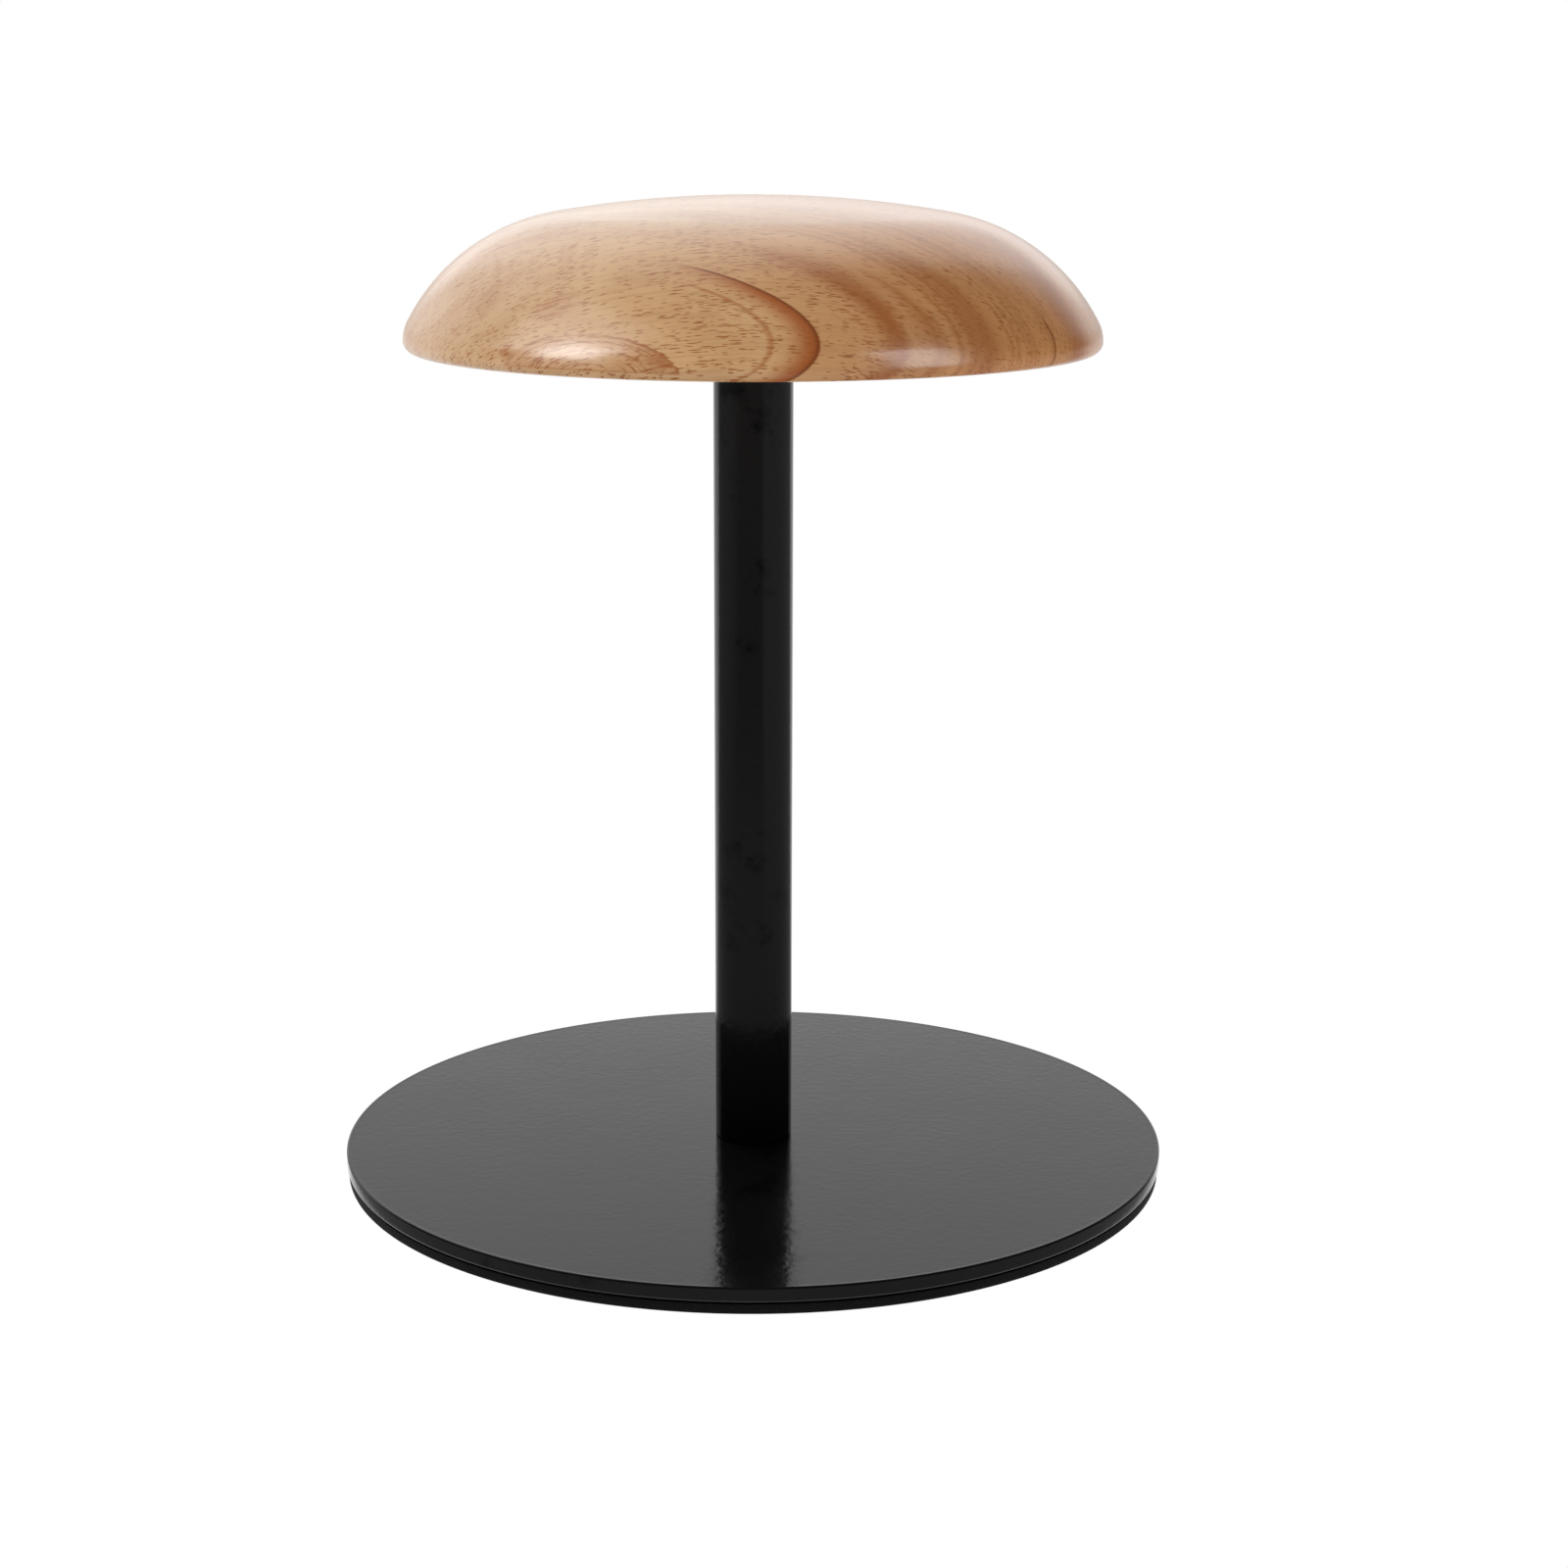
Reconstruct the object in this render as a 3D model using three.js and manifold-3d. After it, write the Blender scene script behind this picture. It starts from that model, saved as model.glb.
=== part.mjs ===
// Tabletop hat stand: a turned wooden head on a black steel post, screwed to a round steel
// base plate with a foam pad under it. Millimetres, +Z up, origin on the table under the post.
import * as THREE from "three";
import { mergeVertices } from "three/addons/utils/BufferGeometryUtils.js";
import Module from "manifold-3d";

const wasm = await Module();
wasm.setup();

// Base plate, a steel disc
const plateDiameter = 150;
const plateThickness = 2.6;
const plateEdgeRadius = 0.4;

// Foam pad and the adhesive film that holds it under the plate
const padThickness = 1.9;
const padInsideRim = 0.3;
const padClearOfScrewHead = 3;
const filmThickness = 0.2;
const filmInsidePad = 1;

// Post, a steel tube with a tapped plug welded into each end
const tubeDiameter = 14;
const tubeWall = 1.5;
const tubeLength = 144.3;
const tubeEdgeChamfer = 0.3;
const plugLength = 12;
const plugEdgeChamfer = 0.4;
const plugClearance = 0.15;

// Screw thread shared by the base screw, the stud, both plugs and the insert
const threadDiameter = 5;
const threadPitch = 0.8;
const threadClearance = 0.2;
const threadLeadIn = 0.4;
const threadEndChamfer = 0.6;

// Base screw, countersunk, with a hexagon socket
const screwLength = 13;
const screwHeadDiameter = 9.5;
const screwHeadLand = 0.15;
const screwSunkInPlate = 0.05;
const screwSeatClearance = 0.2;
const screwSocketFlats = 3;
const screwSocketDepth = 1.8;

// Stud that joins the post to the head, with a hexagon socket in its lower end
const studInPost = 11;
const studInHead = 12;
const studSocketFlats = 2.5;
const studSocketDepth = 2.5;

// Insert that is driven into the wood by its hexagon socket, with a coarse thread outside
const insertLength = 12;
const insertSunkInHead = 0.5;
const insertPitch = 2;
const insertWall = 0.5;
const insertSocketClearance = 0.15;
const insertSocketDepth = 4;
const insertEndChamfer = 0.8;
const woodClearance = 0.2;

// Head, turned from one block: crown, shoulder, nose and rim arcs run into each other
const headDiameter = 121;
const headHeight = 26;
const crownEndDegrees = 9.5;
const shoulderEndDegrees = 62;
const noseRadius = 6.5;
const rimRadius = 1.8;
const boreBeyondStud = 3;

// Facets round a large disc, round a tube, round a screw or its hole, and round one thread turn
const discFacets = 96;
const tubeFacets = 48;
const screwFacets = 24;
const threadFacets = 12;

// Depth of a 60 degree thread as a share of its pitch, and how far a cut runs past a face
const threadDepthShare = (5 / 16) * Math.sqrt(3);
const cutPastFace = 1;

const metal = (color, roughness) =>
  new THREE.MeshStandardMaterial({ color, roughness, metalness: 1 });
const nonMetal = (color, roughness) =>
  new THREE.MeshStandardMaterial({ color, roughness, metalness: 0 });
const lacqueredWood = nonMetal(0xcfa477, 0.3);
const blackPaint = nonMetal(0x1b1b1d, 0.35);
const blackFoam = nonMetal(0x1a1a1a, 0.95);
const clearAdhesive = nonMetal(0xc9c3ae, 0.5);
const zincPlating = metal(0xa9adb0, 0.35);
const blackSteel = metal(0x2a2b2d, 0.45);

const radians = THREE.MathUtils.degToRad;

// A closed geometry as a solid that can be cut and joined.
function toSolid(geometry) {
  const bare = geometry.clone();
  bare.deleteAttribute("normal");
  bare.deleteAttribute("uv");
  const merged = mergeVertices(bare);
  return new wasm.Manifold(
    new wasm.Mesh({
      numProp: 3,
      vertProperties: new Float32Array(merged.attributes.position.array),
      triVerts: new Uint32Array(merged.index.array),
    }),
  );
}

function toGeometry(solid) {
  const mesh = solid.getMesh();
  const geometry = new THREE.BufferGeometry();
  geometry.setAttribute("position", new THREE.BufferAttribute(mesh.vertProperties, 3));
  geometry.setIndex(new THREE.BufferAttribute(mesh.triVerts, 1));
  geometry.computeVertexNormals();
  return geometry;
}

function part(name, geometry, material) {
  const mesh = new THREE.Mesh(geometry, material);
  mesh.name = name;
  return mesh;
}

// Turns a profile of [radius, height] points round the Z axis. Its points run upwards where
// they are on the outside of the piece.
function turn(profile, facets) {
  const points = profile.map(([radius, height]) => new THREE.Vector2(radius, height));
  return new THREE.LatheGeometry(points, facets).rotateX(Math.PI / 2);
}

// Points of an arc about [radius, height], from one angle to another in degrees, where 0
// points outwards and 90 points up.
function arc([centreRadius, centreHeight], radius, from, to, steps) {
  const points = [];
  for (let i = 0; i <= steps; i += 1) {
    const angle = radians(from + ((to - from) * i) / steps);
    points.push([
      centreRadius + radius * Math.cos(angle),
      centreHeight + radius * Math.sin(angle),
    ]);
  }
  return points;
}

// A flat ring between two heights, square at its edges.
function ring(innerRadius, outerRadius, bottom, top) {
  const profile = [
    [innerRadius, bottom],
    [outerRadius, bottom],
    [outerRadius, top],
    [innerRadius, top],
    [innerRadius, bottom],
  ];
  return turn(profile, discFacets);
}

// A slim round bar between two heights, with a chamfer at each end.
function roundBar(radius, bottom, top, chamfer) {
  const profile = [
    [0, bottom],
    [radius - chamfer, bottom],
    [radius, bottom + chamfer],
    [radius, top - chamfer],
    [radius - chamfer, top],
    [0, top],
  ];
  return turn(profile, screwFacets);
}

const hexagonCorner = (acrossFlats) => acrossFlats / 2 / Math.cos(radians(30));

// The hexagon that is cut into a face that looks down.
function hexagonSocket(acrossFlats, faceHeight, depth) {
  const corner = hexagonCorner(acrossFlats);
  const length = depth + cutPastFace;
  const bar = new THREE.CylinderGeometry(corner, corner, length, 6).rotateX(Math.PI / 2);
  return toSolid(bar.translate(0, 0, faceHeight + depth - length / 2));
}

// A core with a helical ridge on it, in rows that run from root to crest and on to the next
// root, each climbing one pitch as it goes round. It covers the heights asked for and more, to
// be trimmed. The ridges of one pitch are all at the same heights, so a bar is in step with a
// hole that is cut a little larger.
function threadBlank(radius, pitch, bottom, top) {
  const core = radius - threadDepthShare * pitch;
  const firstTurn = Math.floor(bottom / pitch) - 2;
  const lastRow = 2 * (Math.ceil(top / pitch) + 1 - firstTurn);
  const positions = [];
  for (let row = 0; row <= lastRow + 2; row += 1) {
    const rowRadius = row % 2 === 0 ? core : radius;
    for (let column = 0; column < threadFacets; column += 1) {
      const angle = (2 * Math.PI * column) / threadFacets;
      const turns = firstTurn + row / 2 + column / threadFacets;
      positions.push(rowRadius * Math.cos(angle), rowRadius * Math.sin(angle), pitch * turns);
    }
  }
  // The end of each row meets the start of the row one turn higher.
  const at = (row, column) =>
    column < threadFacets ? row * threadFacets + column : (row + 2) * threadFacets;
  const triangles = [];
  for (let row = 0; row < lastRow; row += 1) {
    for (let column = 0; column < threadFacets; column += 1) {
      const [a, b] = [at(row, column), at(row, column + 1)];
      const [c, d] = [at(row + 1, column + 1), at(row + 1, column)];
      triangles.push(a, b, c, a, c, d);
    }
  }
  // Each end is a cone over the row that ends the ridge and the step up from its start.
  const closeEnd = (row, apexTurn, facesUp) => {
    const apex = positions.length / 3;
    positions.push(0, 0, pitch * apexTurn);
    const rim = [];
    for (let column = 0; column < threadFacets; column += 1) rim.push(at(row, column));
    rim.push(at(row + 2, 0), at(row + 1, 0));
    rim.forEach((vertex, i) => {
      const next = rim[(i + 1) % rim.length];
      triangles.push(...(facesUp ? [vertex, next, apex] : [next, vertex, apex]));
    });
  };
  closeEnd(0, firstTurn - 1, false);
  closeEnd(lastRow, firstTurn + lastRow / 2 + 3, true);
  return new wasm.Manifold(
    new wasm.Mesh({
      numProp: 3,
      vertProperties: new Float32Array(positions),
      triVerts: new Uint32Array(triangles),
    }),
  );
}

// The thread is trimmed by a bar that is wider than its crests, so that only the ends are cut.
function threadedBar(radius, pitch, bottom, top, chamfer) {
  const trim = roundBar(radius + cutPastFace, bottom, top, chamfer + cutPastFace);
  return threadBlank(radius, pitch, bottom, top).intersect(toSolid(trim));
}

// What is cut out of a piece to leave the shared thread in it, with a cone at each face that
// leads the screw in.
function tappedHole(bottom, top, leadIn) {
  const radius = threadDiameter / 2 + threadClearance;
  const wide = radius + leadIn + cutPastFace;
  const lowerCone = [
    [0, bottom - cutPastFace],
    [wide, bottom - cutPastFace],
    [0, bottom - cutPastFace + wide],
  ];
  const upperCone = [
    [0, top + cutPastFace - wide],
    [wide, top + cutPastFace],
    [0, top + cutPastFace],
  ];
  return threadBlank(radius, threadPitch, bottom, top)
    .add(toSolid(turn(lowerCone, screwFacets)))
    .add(toSolid(turn(upperCone, screwFacets)));
}

// Heights from the table
const plateBottom = padThickness + filmThickness;
const plateTop = plateBottom + plateThickness;
const postTop = plateTop + tubeLength;

// Radii and heights of the base screw, above the top of the plate, where the post stands
const screwHeadRadius = screwHeadDiameter / 2;
const screwFace = screwSunkInPlate - plateThickness;
const screwConeBottom = screwFace + screwHeadLand;
const screwConeTop = screwConeBottom + screwHeadRadius - threadDiameter / 2;

// Radii of the insert
const insertSocketFlats = threadDiameter + 2 * (threadClearance + insertSocketClearance);
const insertCore = hexagonCorner(insertSocketFlats) + insertWall;
const insertRadius = insertCore + threadDepthShare * insertPitch;

const padHoleRadius = screwHeadRadius + padClearOfScrewHead;
const padRadius = plateDiameter / 2 - padInsideRim;

function basePad() {
  return part("base_pad", ring(padHoleRadius, padRadius, 0, padThickness), blackFoam);
}

function padAdhesive() {
  const hole = padHoleRadius + filmInsidePad;
  const rim = padRadius - filmInsidePad;
  return part("pad_adhesive", ring(hole, rim, padThickness, plateBottom), clearAdhesive);
}

// Drawn from its own top. Its countersink runs beside the cone of the screw's head.
function basePlate() {
  const rim = plateDiameter / 2 - plateEdgeRadius;
  const upperEdge = -plateEdgeRadius;
  const lowerEdge = plateEdgeRadius - plateThickness;
  const disc = [
    [0, -plateThickness],
    ...arc([rim, lowerEdge], plateEdgeRadius, -90, 0, 2),
    ...arc([rim, upperEdge], plateEdgeRadius, 0, 90, 2),
    [0, 0],
  ];
  const shankHole = threadDiameter / 2 + screwSeatClearance;
  const cutBottom = -plateThickness - cutPastFace;
  const seat = [
    [0, cutBottom],
    [screwHeadRadius + screwSeatClearance + screwConeBottom - cutBottom, cutBottom],
    [shankHole, screwConeTop],
    [shankHole, screwConeTop + plateThickness],
    [0, screwConeTop + plateThickness],
  ];
  const plate = toSolid(turn(disc, discFacets)).subtract(toSolid(turn(seat, screwFacets)));
  return part("base_plate", toGeometry(plate), blackPaint);
}

function baseScrew() {
  const shankRadius = threadDiameter / 2;
  const head = [
    [0, screwFace],
    [screwHeadRadius, screwFace],
    [screwHeadRadius, screwConeBottom],
    [shankRadius, screwConeTop],
    [0, screwConeTop],
  ];
  const shank = threadedBar(
    shankRadius, threadPitch, screwConeBottom, screwFace + screwLength, threadEndChamfer,
  );
  const socket = hexagonSocket(screwSocketFlats, screwFace, screwSocketDepth);
  const screw = toSolid(turn(head, screwFacets)).add(shank).subtract(socket);
  return part("base_screw", toGeometry(screw), blackSteel);
}

// A tapped plug at one end of the tube, which a screw's cone may reach into.
function tubePlug(name, bottom, top) {
  const radius = tubeDiameter / 2 - tubeWall - plugClearance;
  const body = toSolid(roundBar(radius, bottom, top, plugEdgeChamfer));
  const leadIn = Math.max(threadLeadIn, screwConeTop);
  return part(name, toGeometry(body.subtract(tappedHole(bottom, top, leadIn))), zincPlating);
}

function postTube() {
  const outer = tubeDiameter / 2;
  const inner = outer - tubeWall;
  const profile = [
    [inner, tubeLength],
    [inner, 0],
    [outer - tubeEdgeChamfer, 0],
    [outer, tubeEdgeChamfer],
    [outer, tubeLength - tubeEdgeChamfer],
    [outer - tubeEdgeChamfer, tubeLength],
    [inner, tubeLength],
  ];
  return part("post_tube", turn(profile, tubeFacets), blackPaint);
}

// The stud, the insert and the head are drawn from the top of the post, where the head rests.
function headStud() {
  const bar = threadedBar(
    threadDiameter / 2, threadPitch, -studInPost, studInHead, threadEndChamfer,
  );
  const socket = hexagonSocket(studSocketFlats, -studInPost, studSocketDepth);
  return part("head_stud", toGeometry(bar.subtract(socket)), blackSteel);
}

function headInsert() {
  const top = insertSunkInHead + insertLength;
  const body = threadedBar(
    insertRadius, insertPitch, insertSunkInHead, top, insertEndChamfer,
  );
  const hole = tappedHole(insertSunkInHead, top, threadLeadIn);
  const socket = hexagonSocket(insertSocketFlats, insertSunkInHead, insertSocketDepth);
  const insert = body.subtract(hole).subtract(socket);
  return part("head_insert", toGeometry(insert), zincPlating);
}

// The turned outline, from the middle of the underside up to the middle of the crown. The
// radii of the crown and the shoulder follow from the head's width and height and from the
// angles where the arcs meet, measured from the top.
function headOutline() {
  const crown = radians(crownEndDegrees);
  const shoulder = radians(shoulderEndDegrees);
  const across = headDiameter / 2 - noseRadius * (1 - Math.sin(shoulder));
  const down = headHeight - rimRadius - noseRadius * Math.cos(shoulder);
  const shoulderAcross = Math.sin(shoulder) - Math.sin(crown);
  const shoulderDown = Math.cos(crown) - Math.cos(shoulder);
  const crownDown = 1 - Math.cos(crown);
  const scale = Math.sin(crown) * shoulderDown - crownDown * shoulderAcross;
  const crownRadius = (across * shoulderDown - down * shoulderAcross) / scale;
  const shoulderRadius = (down * Math.sin(crown) - across * crownDown) / scale;
  const crownCentre = [0, headHeight - crownRadius];
  const shoulderCentre = [
    (crownRadius - shoulderRadius) * Math.sin(crown),
    crownCentre[1] + (crownRadius - shoulderRadius) * Math.cos(crown),
  ];
  const rimCentre = [headDiameter / 2 - rimRadius, rimRadius];
  const noseCentre = [headDiameter / 2 - noseRadius, rimRadius];
  const shoulderEnd = 90 - shoulderEndDegrees;
  const crownEnd = 90 - crownEndDegrees;
  return [
    [0, 0],
    ...arc(rimCentre, rimRadius, -90, 0, 3),
    ...arc(noseCentre, noseRadius, 0, shoulderEnd, 4).slice(1),
    ...arc(shoulderCentre, shoulderRadius, shoulderEnd, crownEnd, 9).slice(1),
    ...arc(crownCentre, crownRadius, crownEnd, 90, 3).slice(1, -1),
    [0, headHeight],
  ];
}

function head() {
  const insertHoleTop = insertSunkInHead + insertLength + woodClearance;
  const insertHole = threadedBar(
    insertRadius + woodClearance, insertPitch, -cutPastFace, insertHoleTop, 0,
  );
  const studHoleTop = Math.max(studInHead, insertHoleTop) + boreBeyondStud;
  const studHole = roundBar(threadDiameter / 2 + threadClearance, -cutPastFace, studHoleTop, 0);
  const turned = toSolid(turn(headOutline(), discFacets));
  const bored = turned.subtract(insertHole).subtract(toSolid(studHole));
  return part("head", toGeometry(bored), lacqueredWood);
}

const stand = new THREE.Group();
stand.add(basePad(), padAdhesive());

const abovePlate = new THREE.Group();
abovePlate.position.z = plateTop;
abovePlate.add(basePlate(), baseScrew(), tubePlug("post_lower_plug", 0, plugLength), postTube());
stand.add(abovePlate);

const abovePost = new THREE.Group();
abovePost.position.z = postTop;
abovePost.add(
  tubePlug("post_upper_plug", -plugLength, 0), headStud(), headInsert(), head(),
);
stand.add(abovePost);

export default stand;
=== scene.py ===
# Tabletop hat stand: a turned, lacquered wooden head on a black steel post, screwed to a round
# black base plate with a foam pad under it. Metres, +Z up, the grain of the head along X.
from math import cos, pi, radians, sin

import bmesh
import bpy
from mathutils import Euler, Matrix, Vector


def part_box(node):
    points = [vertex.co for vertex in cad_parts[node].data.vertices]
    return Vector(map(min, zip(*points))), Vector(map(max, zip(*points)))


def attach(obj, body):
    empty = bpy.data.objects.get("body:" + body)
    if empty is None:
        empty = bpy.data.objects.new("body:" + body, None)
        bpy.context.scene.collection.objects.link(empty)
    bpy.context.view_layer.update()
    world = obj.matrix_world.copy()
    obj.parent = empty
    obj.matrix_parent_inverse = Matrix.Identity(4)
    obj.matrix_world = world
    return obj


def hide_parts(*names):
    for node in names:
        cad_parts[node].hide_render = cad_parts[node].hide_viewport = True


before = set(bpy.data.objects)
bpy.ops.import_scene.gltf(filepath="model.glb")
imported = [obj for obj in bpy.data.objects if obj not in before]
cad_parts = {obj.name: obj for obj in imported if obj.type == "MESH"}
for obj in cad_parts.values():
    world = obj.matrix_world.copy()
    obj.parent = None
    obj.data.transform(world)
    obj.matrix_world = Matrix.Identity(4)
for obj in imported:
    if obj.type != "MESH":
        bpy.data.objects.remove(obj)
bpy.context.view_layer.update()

# Camera
# The stand is seen from the front, from just above the head and about half a metre away. The
# camera is turned a little about its own axis, and its lens is shifted a little. Angles in radians.
mm = 0.001
sensor_width = 36
camera_lens = 69.84
camera_back = 534.95 * mm
camera_right = 5.55 * mm
camera_height = 196.41 * mm
camera_looks_down = 0.2622
camera_roll = 0.0025
camera_shift = 0.0628
nearest_seen = 10 * mm

camera = bpy.data.cameras.new("camera")
camera.sensor_width = sensor_width
camera.lens = camera_lens
camera.shift_y = camera_shift
camera.clip_start = nearest_seen
camera_object = bpy.data.objects.new("camera", camera)
camera_tilt = Euler((pi / 2 - camera_looks_down, 0, 0)).to_matrix()
camera_turn = camera_tilt @ Matrix.Rotation(camera_roll, 3, "Z")
camera_object.location = (camera_right, -camera_back, camera_height)
camera_object.rotation_euler = camera_turn.to_euler()
bpy.context.scene.collection.objects.link(camera_object)
bpy.context.scene.camera = camera_object
bpy.context.scene.view_settings.view_transform = "Standard"

# Studio
# A plain white floor and backdrop. The side of the camera is left dim, so that black paint stays
# black. A scrim glows high at the back left, and softboxes light the head alone. The one overhead
# isn't mirrored in the lacquer.
white = (1, 1, 1, 1)
floor_white = (0.8, 0.8, 0.8, 1)
floor_radius = 6
floor_facets = 64
floor_drop = 0.05 * mm
floor_glow = 0.62
rim_ring_glow = 1.2
near_floor_glow = 0.28
far_floor_glow = 0.04
right_floor_glow = 0.28
left_floor_glow = 0.2
horizon_glow = 0.75
backdrop_foot_glow = 1.25
backdrop_glow = 0.9
backdrop_top_glow = 0.4
dim_side_glow = 0.03
ceiling_glow = 0.1
scrim_azimuth = -160
scrim_elevation = 50
scrim_full_within = 16
scrim_gone_beyond = 42
scrim_glow = 1.05
softbox_distance = 1.2
softbox_aim_height = 160 * mm


def node(tree, kind, *values, **settings):
    """Adds a node. Each value, in the order of its sockets, is a number, a colour or a link."""
    made = tree.nodes.new(kind)
    for name, setting in settings.items():
        setattr(made, name, setting)
    for socket, value in zip(made.inputs, values):
        if isinstance(value, bpy.types.NodeSocket):
            tree.links.new(value, socket)
        elif value is not None:
            socket.default_value = value
    return made


def maths(tree, operation, *values):
    """One piece of arithmetic on numbers or links."""
    return node(tree, "ShaderNodeMath", *values, operation=operation).outputs[0]


def ramp(tree, value, low, high, at_low=0, at_high=1):
    """A smooth step from one level to another as a value goes from low to high."""
    step = node(tree, "ShaderNodeMapRange", value, low, high, at_low, at_high)
    step.interpolation_type = "SMOOTHSTEP"
    return step.outputs[0]


def parts_of(tree, vector):
    return node(tree, "ShaderNodeSeparateXYZ", vector).outputs


def greatest(tree, values):
    chosen = values[0]
    for value in values[1:]:
        chosen = maths(tree, "MAXIMUM", chosen, value)
    return chosen


world = bpy.data.worlds.new("studio")
world.use_nodes = True
bpy.context.scene.world = world
sky = world.node_tree
sky.nodes.clear()

# The backdrop reaches further round on the left than on the right. The camera itself sees nothing
# but white.
sky_direction = node(sky, "ShaderNodeTexCoord").outputs["Generated"]
across, away, up = parts_of(sky, sky_direction)
aside = greatest(sky, [maths(sky, "MULTIPLY", across, 0.9), maths(sky, "MULTIPLY", across, -0.4)])
behind = ramp(sky, maths(sky, "SUBTRACT", away, aside), -0.05, 0.38)
far_aside = maths(sky, "ABSOLUTE", across)
foot_glow = ramp(sky, far_aside, 0.3, 0.6, backdrop_foot_glow, backdrop_glow)
foot_glow = ramp(sky, up, 0.02, 0.18, horizon_glow, foot_glow)
backdrop = maths(
    sky, "SUBTRACT",
    ramp(sky, up, 0.24, 0.32, foot_glow, backdrop_glow),
    ramp(sky, up, 0.45, 0.8, 0, backdrop_glow - backdrop_top_glow),
)
ceiling = ramp(sky, up, 0.8, 0.95, 0, ceiling_glow)
sky_glow = greatest(sky, [maths(sky, "MULTIPLY", behind, backdrop), dim_side_glow, ceiling])


def towards(azimuth, elevation):
    """The direction of a light. Azimuth 0 is the side of the camera, 90 the right."""
    turn, lift = radians(azimuth), radians(elevation)
    return Vector((sin(turn) * cos(lift), -cos(turn) * cos(lift), sin(lift)))


scrim_middle = towards(scrim_azimuth, scrim_elevation)
along_scrim = node(sky, "ShaderNodeVectorMath", sky_direction, scrim_middle, operation="DOT_PRODUCT")
scrim_edge, scrim_even = cos(radians(scrim_gone_beyond)), cos(radians(scrim_full_within))
scrim = ramp(sky, along_scrim.outputs["Value"], scrim_edge, scrim_even, 0, scrim_glow)
sky_glow = maths(sky, "MAXIMUM", sky_glow, scrim)
camera_ray = node(sky, "ShaderNodeLightPath").outputs["Is Camera Ray"]
seen = maths(sky, "MAXIMUM", camera_ray, sky_glow)
background = node(sky, "ShaderNodeBackground", white, seen)
node(sky, "ShaderNodeOutputWorld", background.outputs[0])


def bare_material(name):
    """A new material with only its shader and output, and the shader's own values to set."""
    material = bpy.data.materials.new(name)
    material.use_nodes = True
    return material, material.node_tree, material.node_tree.nodes["Principled BSDF"]


def mesh_object(name, bm):
    """Puts a finished shape into the scene as an object."""
    mesh = bpy.data.meshes.new(name)
    bm.to_mesh(mesh)
    bm.free()
    made = bpy.data.objects.new(name, mesh)
    bpy.context.scene.collection.objects.link(made)
    return made


floor_shape = bmesh.new()
bmesh.ops.create_circle(floor_shape, cap_ends=True, segments=floor_facets, radius=floor_radius)
bmesh.ops.translate(floor_shape, verts=floor_shape.verts, vec=(0, 0, -floor_drop))
floor = mesh_object("floor", floor_shape)
floor.visible_shadow = False

white_floor = bpy.data.materials.new("white_floor")
white_floor.use_nodes = True
tree = white_floor.node_tree
tree.nodes.clear()
lit = node(tree, "ShaderNodeBsdfDiffuse", floor_white)
own_glow = node(tree, "ShaderNodeEmission", white, floor_glow)
paper = node(tree, "ShaderNodeAddShader", lit.outputs[0], own_glow.outputs[0])

# The stand mirrors the floor as bright towards the backdrop and in a narrow ring round the pad, and
# as dim close by and at either side. Distances here are in metres.
floor_place = node(tree, "ShaderNodeTexCoord").outputs["Object"]
x, y = parts_of(tree, floor_place)[:2]
aside = greatest(tree, [maths(tree, "MULTIPLY", x, 0.9), maths(tree, "MULTIPLY", x, -0.5)])
towards_backdrop = maths(tree, "SUBTRACT", y, aside)
reach = node(tree, "ShaderNodeVectorMath", floor_place, operation="LENGTH").outputs["Value"]
to_the_right = maths(tree, "DIVIDE", x, reach)
mirrored_glow = greatest(tree, [
    ramp(tree, towards_backdrop, -0.02, 0.1, 0, backdrop_glow),
    ramp(tree, reach, 0.076, 0.08, rim_ring_glow, 0),
    ramp(tree, reach, 0.09, 0.5, near_floor_glow, far_floor_glow),
    ramp(tree, to_the_right, 0.35, 0.6, 0, right_floor_glow),
    ramp(tree, to_the_right, -0.5, -1, 0, left_floor_glow),
])
mirrored = node(tree, "ShaderNodeEmission", white, mirrored_glow)


def either(tree, share, first, second):
    """Blends two shaders."""
    return node(tree, "ShaderNodeMixShader", share, first.outputs[0], second.outputs[0])


path = node(tree, "ShaderNodeLightPath")
gloss_or_paper = either(tree, path.outputs["Is Glossy Ray"], paper, mirrored)
overexposed = node(tree, "ShaderNodeEmission", white, 1)
seen_or_lit = either(tree, path.outputs["Is Camera Ray"], gloss_or_paper, overexposed)
clear = node(tree, "ShaderNodeBsdfTransparent")
underneath = node(tree, "ShaderNodeNewGeometry").outputs["Backfacing"]
floor_look = either(tree, underneath, seen_or_lit, clear)
node(tree, "ShaderNodeOutputMaterial", floor_look.outputs[0])
floor.data.materials.append(white_floor)


def softbox(name, azimuth, elevation, width, height, watts):
    """An area light that faces the head. Once the head is made, it is kept off everything else."""
    light = bpy.data.lights.new(name, "AREA")
    light.shape = "RECTANGLE"
    light.size = width
    light.size_y = height
    light.energy = watts
    made = bpy.data.objects.new(name, light)
    towards_light = towards(azimuth, elevation)
    made.location = Vector((0, 0, softbox_aim_height)) + softbox_distance * towards_light
    made.rotation_euler = towards_light.to_track_quat("Z", "Y").to_euler()
    made.visible_camera = False
    bpy.context.scene.collection.objects.link(made)
    return made


overhead_softbox = softbox("overhead_softbox", 180, 76, 1.5, 1.5, 1.9)
overhead_softbox.visible_glossy = False
softboxes = [
    overhead_softbox,
    softbox("left_softbox", -62, 27, 0.44, 0.62, 5.6),
    softbox("low_left_softbox", -60, 6, 0.6, 0.44, 0.8),
    softbox("right_softbox", 56, 18, 0.5, 0.95, 5.2),
    softbox("far_left_softbox", -75, 39, 0.8, 0.8, 3.2),
    softbox("back_softbox", 180, 34, 1.3, 1.15, 2),
]

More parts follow.
